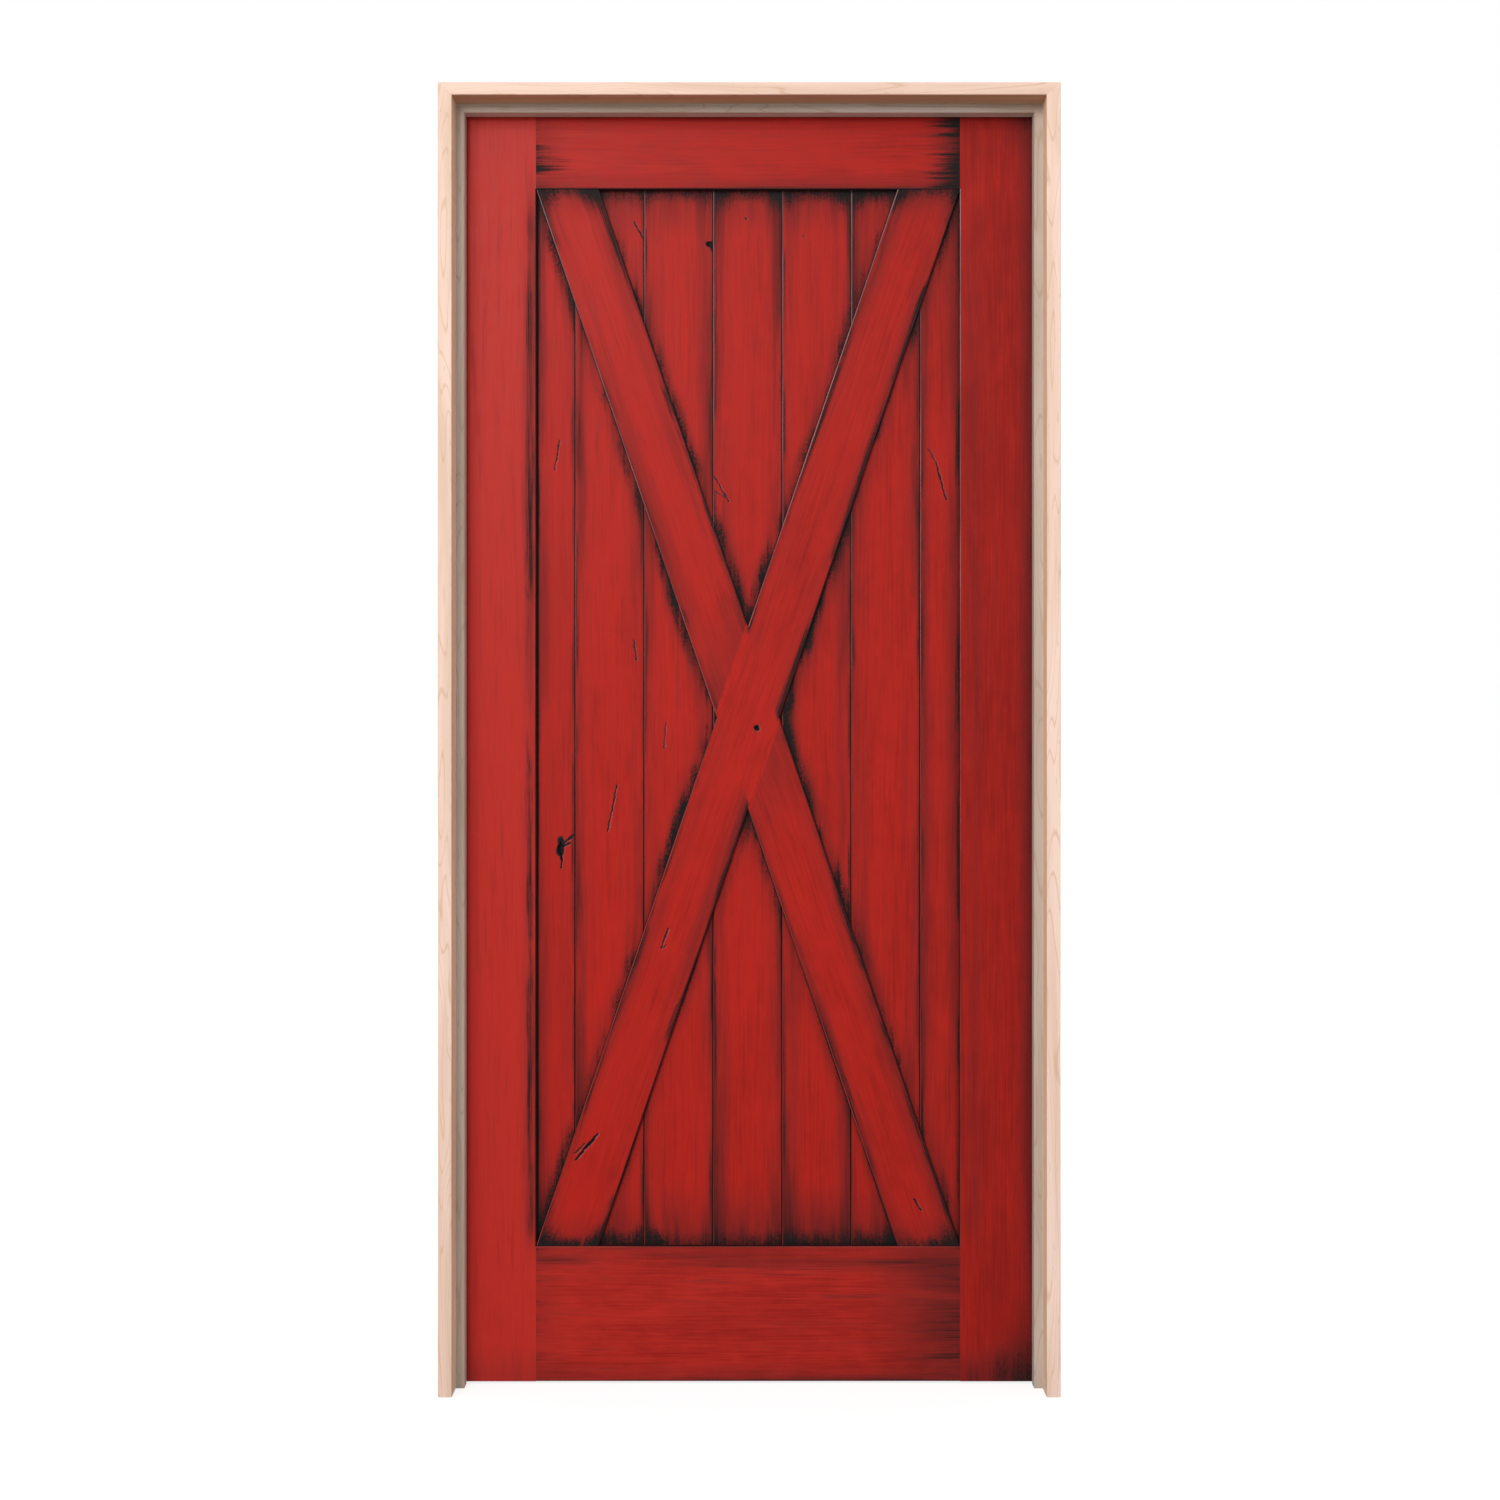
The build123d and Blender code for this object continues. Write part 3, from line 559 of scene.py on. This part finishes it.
def plank_edges(left, right, at_left_stile, at_right_stile):
    """Where glaze gathers on a plank: both ends, both edges, and along the braces that lie on its front."""

    def edges(g):
        sides = [g.sub(g.x, left), g.sub(right, g.x)]
        behind = g.smooth(g.y, PLANK_FRONT + 0.002, PLANK_FRONT + 0.004)
        braces = [g.add(off_brace(g, way), behind) for way in (1, -1)]
        side = nearest(g, sides + braces)
        top, bottom = g.sub(PANEL_TOP, g.z), g.sub(g.z, PANEL_BOTTOM)
        found = end_glaze(g, top, side, band=(0.032, 0.92, 0.35), haze=(0.085, 0.62))
        found += end_glaze(g, bottom, side, band=(0.036, 1.02, 0.45), haze=(0.115, 0.70))
        haze = 0.52 if at_left_stile or at_right_stile else 0.70
        for distance in sides:
            found.append(hazed(distance, reach=0.038, strength=haze, brushed=1.5, patchy=0.92))
            found.append(dabbed(distance, reach=0.012, strength=0.72, dabs=0.8, brushed=2.2, patchy=0.95))
        # painted shadow: an unbroken dark strip on the first plank beside the hinge stile, which shades it
        # from the light at left; the strip at the lock stile is weaker and broken
        if at_left_stile:
            found.append(dabbed(sides[0], reach=0.0065, strength=1.1, dabs=0.6, brushed=0.2))
        if at_right_stile:
            found.append(dabbed(sides[1], reach=0.010, strength=0.55, dabs=0.8, brushed=0.4, patchy=0.3))
        held = along_braces(g)
        soft, dark = g.mul(held, 0.66), g.mul(held, 1.25)
        for distance in braces:
            found.append(hazed(distance, reach=0.034, strength=soft, brushed=0.9, patchy=0.85))
            found.append(dabbed(distance, reach=0.026, strength=dark, dabs=2.2, brushed=0.9, patchy=0.84))
            found.append(dabbed(distance, reach=0.0045, strength=1.0, dabs=1.2, brushed=0.2, patchy=0.40))
        found.append(dabbed(corner(g, *braces), reach=0.012, strength=1.2, dabs=1.0, brushed=0.3))
        return found

    return edges


def brace_edges(half):
    """Where glaze gathers on a brace: both ends, both long edges, and the butt of a half brace."""

    def edges(g):
        across = leaning(g, -1 if half else 1)[1]
        inside = g.sub(BRACE_WIDTH / 2, g.size(across))
        top, bottom = g.sub(PANEL_TOP, g.z), g.sub(g.z, PANEL_BOTTOM)
        found = end_glaze(g, top, inside, band=(0.026, 0.86, 0.35), haze=(0.060, 0.55))
        found += end_glaze(g, bottom, inside, band=(0.026, 0.90, 0.60), haze=(0.070, 0.55))
        found.append(hazed(inside, reach=0.034, strength=0.62, brushed=1.7, patchy=0.92))
        found.append(dabbed(inside, reach=0.016, strength=0.85, dabs=0.8, brushed=2.4, patchy=0.95))
        if half:
            found.append(hazed(off_brace(g, 1), reach=0.080, strength=0.38, brushed=1.0, patchy=0.6))
        return found

    return edges


def at_crossing(g):
    """1 where the half braces butt against the through brace."""
    return g.smooth(off_brace(g, -1), 0.001, -0.007)


def at_butt(g):
    """1 close to the butt of a half brace."""
    return g.smooth(off_brace(g, 1), 0.006, 0.002)


def rail_edges(low, high, ends, rims, drawn):
    """Where glaze gathers on a rail: its ends against the stiles, both long edges and one drawn streak.

    ends gives (streaks, patchy, haze, reach) for the left and the right end, rims the strength along
    the lower and upper edge, and drawn the (height, strength) of the streak.
    """

    def edges(g):
        found = []
        gaps = (g.sub(g.x, PANEL_LEFT), g.sub(PANEL_RIGHT, g.x))
        ragged = g.noise(g.vector(g.mul(g.z, 90.0), g.mul(g.x, 1.5), low), detail=3.0, roughness=0.6)
        ragged = g.add(0.45, g.mul(g.smooth(ragged, 0.36, 0.66), 1.3))
        below, above = g.sub(g.z, low), g.sub(high, g.z)
        rim = g.math("MINIMUM", below, above)
        for gap, (streaks, patchy, haze, reach) in zip(gaps, ends):
            stroke = g.math("DIVIDE", gap, ragged)
            tip = corner(g, g.mul(gap, 0.34), rim)
            found += [
                stroked(stroke, reach, streaks, dabs=0.8, brushed=2.6, patchy=patchy),
                stroked(tip, reach * 0.5, streaks, dabs=0.8, brushed=2.8, patchy=patchy * 0.7),
                hazed(gap, reach, haze, brushed=1.4, patchy=0.45),
                stroked(stroke, reach * 0.3, streaks, dabs=1.0, brushed=2.0, patchy=patchy * 0.8),
            ]
        for gap, strength in zip((below, above), rims):
            found.append(hazed(gap, reach=0.036, strength=strength, brushed=1.2, patchy=0.60))
            found.append(dabbed(gap, reach=0.014, strength=strength, dabs=0.6, brushed=1.8, patchy=0.85))
        streak = g.size(g.sub(g.z, drawn[0]))
        found.append(hazed(streak, reach=0.022, strength=drawn[1], brushed=2.0, patchy=0.95))
        return found

    return edges


def stile_edges(inner, outer, outer_strength, drawn):
    """Where glaze gathers on a stile: both long edges, both ends and one drawn streak.

    drawn gives the streak's (distance from the inner edge, strength); it fades out beside the rails.
    """
    way = 1 if inner > outer else -1

    def edges(g):
        from_outer = g.mul(g.sub(g.x, outer), way)
        from_inner = g.mul(g.sub(inner, g.x), way)
        low, high = g.sub(g.z, LEAF_BOTTOM), g.sub(LEAF_TOP, g.z)
        beside = g.math("MINIMUM", g.sub(g.z, PANEL_BOTTOM), g.sub(PANEL_TOP, g.z))
        beside = g.smooth(beside, -0.05, 0.06)
        streak = g.size(g.sub(from_inner, drawn[0]))
        streaked, seam = g.mul(beside, drawn[1]), g.mul(beside, 0.60)
        on_face = g.partly(g.smooth(g.size(g.ny), 0.30, 0.70), 0.75)
        rim = g.mul(on_face, outer_strength)
        upper, lower = corner(g, from_outer, high), corner(g, from_outer, low)
        at_top, at_bottom = outer_strength + 0.15, outer_strength * 1.2
        foot = outer_strength * 0.5 + 0.25
        return [
            hazed(from_outer, reach=0.045, strength=rim, brushed=0.8, patchy=0.35),
            dabbed(from_outer, reach=0.024, strength=rim, dabs=1.2, brushed=1.2, patchy=0.70),
            hazed(streak, reach=0.020, strength=streaked, brushed=2.0, patchy=0.80),
            dabbed(streak, reach=0.015, strength=streaked, dabs=0.5, brushed=2.8, patchy=0.95),
            dabbed(from_inner, reach=0.005, strength=seam, dabs=0.6, brushed=0.6, patchy=0.7),
            dabbed(upper, reach=0.110, strength=at_top, dabs=1.3, brushed=1.2, patchy=0.4),
            dabbed(lower, reach=0.150, strength=at_bottom, dabs=1.3, brushed=1.2, patchy=0.2),
            hazed(low, reach=0.070, strength=foot, brushed=1.6, patchy=0.5),
        ]

    return edges


# The leaf; marks are (start, end, width, strength), with X and Z of both ends
plank_lines = [PANEL_LEFT]
plank_lines += [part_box(f"plank_{place}")[0].x for place in range(2, PLANK_COUNT + 1)]
plank_lines += [PANEL_RIGHT]
PLANK_MARKS = {
    1: [
        ((-0.2990, 0.858), (-0.2992, 0.838), 0.0090, 1.0),
        ((-0.3010, 0.844), (-0.3012, 0.838), 0.0080, 1.0),
        ((-0.2965, 0.850), (-0.2790, 0.866), 0.0028, 1.0),
        ((-0.2930, 0.849), (-0.2840, 0.853), 0.0024, 1.0),
        ((-0.2985, 0.838), (-0.2980, 0.814), 0.0028, 1.0),
        ((-0.3010, 1.492), (-0.3090, 1.445), 0.0020, 0.85),
    ],
    2: [
        ((-0.2100, 0.945), (-0.2240, 0.872), 0.0021, 0.95),
        ((-0.1825, 1.838), (-0.1685, 1.812), 0.0022, 0.90),
        ((-0.1830, 1.175), (-0.1790, 1.143), 0.0021, 0.85),
    ],
    3: [
        ((-0.1320, 1.045), (-0.1350, 1.003), 0.0019, 0.75),
        ((-0.0668, 1.8040), (-0.0585, 1.8005), 0.0046, 1.0),
        ((-0.0585, 1.8050), (-0.0580, 1.7940), 0.0052, 1.0),
    ],
    4: [
        ((-0.0065, 1.844), (-0.0055, 1.843), 0.0032, 0.90),
        ((-0.0560, 1.435), (-0.0330, 1.395), 0.0021, 0.90),
        ((-0.0560, 1.412), (-0.0380, 1.401), 0.0018, 0.75),
    ],
    5: [((0.0855, 1.816), (0.0865, 1.815), 0.0025, 0.70)],
    7: [
        ((0.2960, 1.457), (0.3120, 1.397), 0.0023, 0.95),
        ((0.2840, 1.478), (0.2960, 1.457), 0.0018, 0.75),
    ],
}
for place in range(1, PLANK_COUNT + 1):
    left, right = plank_lines[place - 1], plank_lines[place]
    edges = plank_edges(left, right, at_left_stile=place == 1, at_right_stile=place == PLANK_COUNT)
    marks = PLANK_MARKS.get(place, ())
    paint = red_paint(f"plank_paint_{place}", upright, edges, 3.7 * place, PLANK_FRONT, marks)
    dress(f"plank_{place}", paint)

THROUGH_MARKS = [
    ((0.0115, 1.0356), (0.0116, 1.0354), 0.0080, 1.0),
    ((-0.2405, 0.3925), (-0.2740, 0.3536), 0.0032, 1.0),
    ((-0.2600, 0.3780), (-0.2755, 0.3630), 0.0022, 0.85),
    ((-0.1285, 0.7180), (-0.1390, 0.6880), 0.0021, 0.95),
    ((-0.1310, 0.6920), (-0.1385, 0.6870), 0.0018, 0.75),
]
LOWER_MARKS = [((0.2605, 0.2905), (0.2715, 0.2730), 0.0024, 0.95)]
for node, way, seed, marks in (
    ("brace_through", 1, 31.0, THROUGH_MARKS),
    ("brace_upper", -1, 37.0, ()),
    ("brace_lower", -1, 43.0, LOWER_MARKS),
):
    half = way < 0
    paint = red_paint(
        f"{node}_paint",
        lambda g, way=way: leaning(g, way),
        brace_edges(half),
        seed,
        BRACE_FRONT,
        marks,
        joint=at_butt if half else at_crossing,
    )
    dress(node, paint)

hinge_stile = stile_edges(PANEL_LEFT, LEAF_LEFT, outer_strength=0.12, drawn=(0.010, 0.62))
lock_stile = stile_edges(PANEL_RIGHT, LEAF_RIGHT, outer_strength=0.74, drawn=(0.023, 0.26))
# painted sheen on the hinge stile: a lighter tone and a paler pink red where the light from the left falls
paint = red_paint("stile_paint_hinge", upright, hinge_stile, 51.0, LEAF_FRONT, tone=0.04, paled=0.32)
dress("stile_hinge", paint)
# painted shade on the lock stile: a darker tone, away from the light at left
paint = red_paint("stile_paint_lock", upright, lock_stile, 57.0, LEAF_FRONT, tone=-0.06, wash=0.42)
dress("stile_lock", paint)

top_rail = rail_edges(
    PANEL_TOP,
    LEAF_TOP,
    ends=((0.95, 0.90, 0.34, 0.062), (0.95, 0.55, 0.85, 0.060)),
    rims=(0.40, 0.10),
    drawn=(PANEL_TOP + 0.060, 0.08),
)
bottom_rail = rail_edges(
    LEAF_BOTTOM,
    PANEL_BOTTOM,
    ends=((0.34, 0.95, 0.20, 0.060), (0.38, 0.90, 0.66, 0.170)),
    rims=(0.60, 0.30),
    drawn=(PANEL_BOTTOM - 0.026, 0.60),
)
dress("top_rail", red_paint("rail_paint_top", level, top_rail, 63.0, LEAF_FRONT))
# painted shade on the bottom rail: a darker tone low on the door; its red is also mixed toward a paler pink
paint = red_paint(
    "rail_paint_bottom", level, bottom_rail, 69.0, LEAF_FRONT, tone=-0.04, wash=0.62, paled=0.26
)
dress("bottom_rail", paint)

# The frame: the tint of each piece, and of the faces that look into the doorway. Both are painted light
# and shade: the lock jamb lighter, the stops darker and greyer, the inward faces lighter at the hinge jamb
# and much darker under the head.
HINGE_SHADE, HINGE_REVEAL_PAINTED_LIGHT = (1.0, 1.01, 1.02), (1.02, 1.14, 1.02)
LOCK_PAINTED_LIGHT, LOCK_REVEAL_PAINTED_LIGHT = (1.06, 1.07, 1.09), (0.97, 1.00, 0.90)
HEAD_SHADE, HEAD_SOFFIT_PAINTED_SHADE = WHITE, (0.66, 0.60, 0.46)
# painted shade: the stops sit back in the reveal, darker and greyer than the jamb wood
STOP_PAINTED_SHADE = (0.64, 0.74, 0.78)
dress("jamb_hinge", pale_wood("jamb_hinge_wood", upright, 0.0, HINGE_SHADE, (1, 0), HINGE_REVEAL_PAINTED_LIGHT))
dress("jamb_lock", pale_wood("jamb_lock_wood", upright, 2.3, LOCK_PAINTED_LIGHT, (-1, 0), LOCK_REVEAL_PAINTED_LIGHT))
dress("head_jamb", pale_wood("head_jamb_wood", level, 4.6, HEAD_SHADE, (0, -1), HEAD_SOFFIT_PAINTED_SHADE))
for place, node in enumerate(("stop_hinge", "stop_lock", "stop_head")):
    grain = level if node == "stop_head" else upright
    dress(node, pale_wood(f"{node}_wood", grain, 11.0 + 2.3 * place, STOP_PAINTED_SHADE))

# Hinges and screws
for place in range(1, HINGE_COUNT + 1):
    bronze = rubbed_bronze(f"hinge_{place}_bronze", 1.7 * place)
    for piece in ("jamb_leaf", "door_leaf", "pin"):
        dress(f"hinge_{place}_{piece}", bronze)
screw_bronze = rubbed_bronze("screw_bronze", 9.0)
dress("hinge_screws_jamb", screw_bronze)
dress("hinge_screws_door", screw_bronze)
dress("corner_screws", zinc("corner_screw_zinc"))

# Floor, light and camera
FLOOR_REACH, FLOOR_DROP = 40.0, 0.0005
FLOOR_GREY = (0.32, 0.32, 0.32)
FLOOR_DIM = 0.22  # how much less the floor glows under the object
FLOOR_DIM_NEAR, FLOOR_DIM_FAR = 0.9, 3.0
WORLD_STRENGTH = 0.70
CAMERA_SIDE, CAMERA_DISTANCE, CAMERA_HEIGHT = 0.0012, 3.2, 1.0005
CAMERA_SENSOR, CAMERA_LENS = 36.0, 49.69  # millimetres


def floor():
    """A pale floor that shows white to the camera and keeps the shadow of the object."""
    mesh = bpy.data.meshes.new("floor")
    reach = FLOOR_REACH
    corners = [(-reach, -reach, 0), (reach, -reach, 0), (reach, reach, 0), (-reach, reach, 0)]
    mesh.from_pydata(corners, [], [(0, 1, 2, 3)])
    plane = bpy.data.objects.new("floor", mesh)
    plane.location.z = -FLOOR_DROP
    bpy.context.scene.collection.objects.link(plane)
    g = Graph("floor_white")
    g.give("Base Color", FLOOR_GREY)
    g.give("Roughness", 0.9)
    g.give("Specular IOR Level", 0.1)
    g.give("Emission Color", WHITE)
    away = g.math("SQRT", g.add(g.mul(g.x, g.x), g.mul(g.y, g.y)))
    lift = g.partly(g.smooth(away, FLOOR_DIM_NEAR, FLOOR_DIM_FAR), FLOOR_DIM)
    path = g.tree.nodes.new("ShaderNodeLightPath")
    seen = g.math("MAXIMUM", path.outputs["Is Camera Ray"], path.outputs["Is Glossy Ray"])
    seen = g.math("MAXIMUM", seen, path.outputs["Is Transmission Ray"])
    g.give("Emission Strength", g.mul(lift, seen))
    mesh.materials.append(g.material)


def world_light(strength):
    """Even white light all round, and plain white behind the object."""
    world = bpy.data.worlds.new("studio")
    bpy.context.scene.world = world
    world.use_nodes = True
    tree = world.node_tree
    light = tree.nodes["Background"]
    light.inputs["Color"].default_value = (*WHITE, 1)
    path = tree.nodes.new("ShaderNodeLightPath")
    lift = tree.nodes.new("ShaderNodeMapRange")
    seen = path.outputs["Is Camera Ray"]
    for kind in ("Is Glossy Ray", "Is Transmission Ray"):
        either = tree.nodes.new("ShaderNodeMath")
        either.operation = "MAXIMUM"
        tree.links.new(seen, either.inputs[0])
        tree.links.new(path.outputs[kind], either.inputs[1])
        seen = either.outputs[0]
    tree.links.new(seen, lift.inputs["Value"])
    lift.inputs["To Min"].default_value = strength
    lift.inputs["To Max"].default_value = 1.0
    tree.links.new(lift.outputs["Result"], light.inputs["Strength"])


def soft_box(name, place, target, width, height, radiance):
    """A large flat lamp that points at a target."""
    lamp = bpy.data.lights.new(name, "AREA")
    lamp.shape = "RECTANGLE"
    lamp.size, lamp.size_y = width, height
    lamp.energy = radiance * math.pi * width * height
    holder = bpy.data.objects.new(name, lamp)
    holder.location = place
    way = [t - p for t, p in zip(target, place)]
    flat = math.hypot(way[0], way[1])
    holder.rotation_euler = (math.atan2(flat, -way[2]), 0, math.atan2(-way[0], way[1]))
    bpy.context.scene.collection.objects.link(holder)


def camera():
    """A level camera straight in front of the doorway, at half its height."""
    lens = bpy.data.cameras.new("camera")
    lens.sensor_fit = "HORIZONTAL"
    lens.sensor_width = CAMERA_SENSOR
    lens.lens = CAMERA_LENS
    eye = bpy.data.objects.new("camera", lens)
    eye.location = (CAMERA_SIDE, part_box("jamb_hinge")[0].y - CAMERA_DISTANCE, CAMERA_HEIGHT)
    eye.rotation_euler = (math.pi / 2, 0, 0)
    bpy.context.scene.collection.objects.link(eye)
    bpy.context.scene.camera = eye


floor()
world_light(WORLD_STRENGTH)
soft_box("key", (-1.9, -5.4, 3.6), (0.0, 0.0, 1.0), width=2.4, height=2.4, radiance=11.1)
soft_box("back", (2.2, 5.2, 3.2), (0.0, 0.0, 1.0), width=2.4, height=2.4, radiance=5.0)
soft_box("side", (-3.4, -2.0, 1.9), (0.0, 0.0, 1.1), width=0.8, height=2.2, radiance=1.2)
soft_box("fill", (3.4, -2.0, 1.9), (0.0, 0.0, 1.1), width=0.8, height=2.2, radiance=1.1)
camera()
bpy.context.scene.view_settings.view_transform = "Standard"
